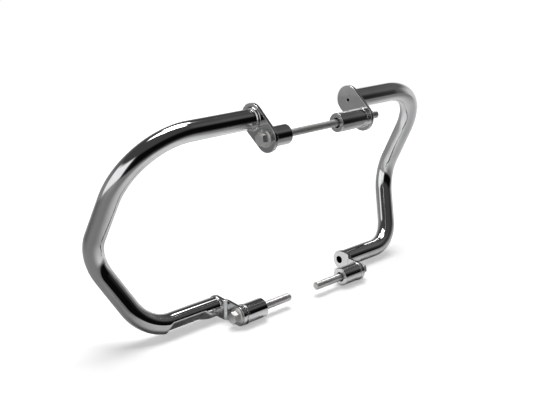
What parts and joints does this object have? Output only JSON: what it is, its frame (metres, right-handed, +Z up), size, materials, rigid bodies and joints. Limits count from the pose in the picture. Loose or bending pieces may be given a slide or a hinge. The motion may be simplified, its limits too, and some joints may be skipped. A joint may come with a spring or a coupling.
{
  "type": "motorcycle crash bars",
  "caption": "Chromed bent-tube engine guards with welded plates, spacers, a long through bolt and lower mounting bolts.",
  "frame": {"origin": "on the axis of the long through bolt, on the centre plane between the two upper spacers", "axes": "+X to the right bar, +Y backwards along the machine, +Z up"},
  "size_m": [0.6348, 0.1443, 0.3157],
  "materials": {
    "chrome_tube": "polished chrome plate",
    "chrome_plate": "chrome plate on flat sheet, slightly softer",
    "chrome_weld": "chromed weld bead with fine ripples",
    "chrome_spacer": "polished turned steel",
    "chrome_washer": "bright plated washer",
    "zinc_bolt": "bright zinc plate, satin"
  },
  "bodies": {
    "root": {"left_tube": "chrome_tube", "left_upper_plate": "chrome_plate", "left_upper_weld": "chrome_weld", "left_lower_bracket": "chrome_plate", "left_lower_weld": "chrome_weld", "left_relief_plate": "chrome_tube", "right_tube": "chrome_tube", "right_upper_plate": "chrome_plate", "right_upper_weld": "chrome_weld", "right_lower_bracket": "chrome_plate", "right_lower_weld": "chrome_weld", "through_bolt": "zinc_bolt", "left_upper_washer": "chrome_washer", "left_upper_spacer": "chrome_spacer", "right_upper_washer": "chrome_washer", "right_upper_spacer": "chrome_spacer", "left_lower_bolt": "zinc_bolt", "left_lower_shim": "chrome_spacer", "left_lower_washer": "chrome_washer", "left_lower_spacer": "chrome_spacer", "right_lower_bolt": "zinc_bolt", "right_lower_washer": "chrome_washer", "right_lower_spacer": "chrome_spacer"}
  },
  "joints": []
}
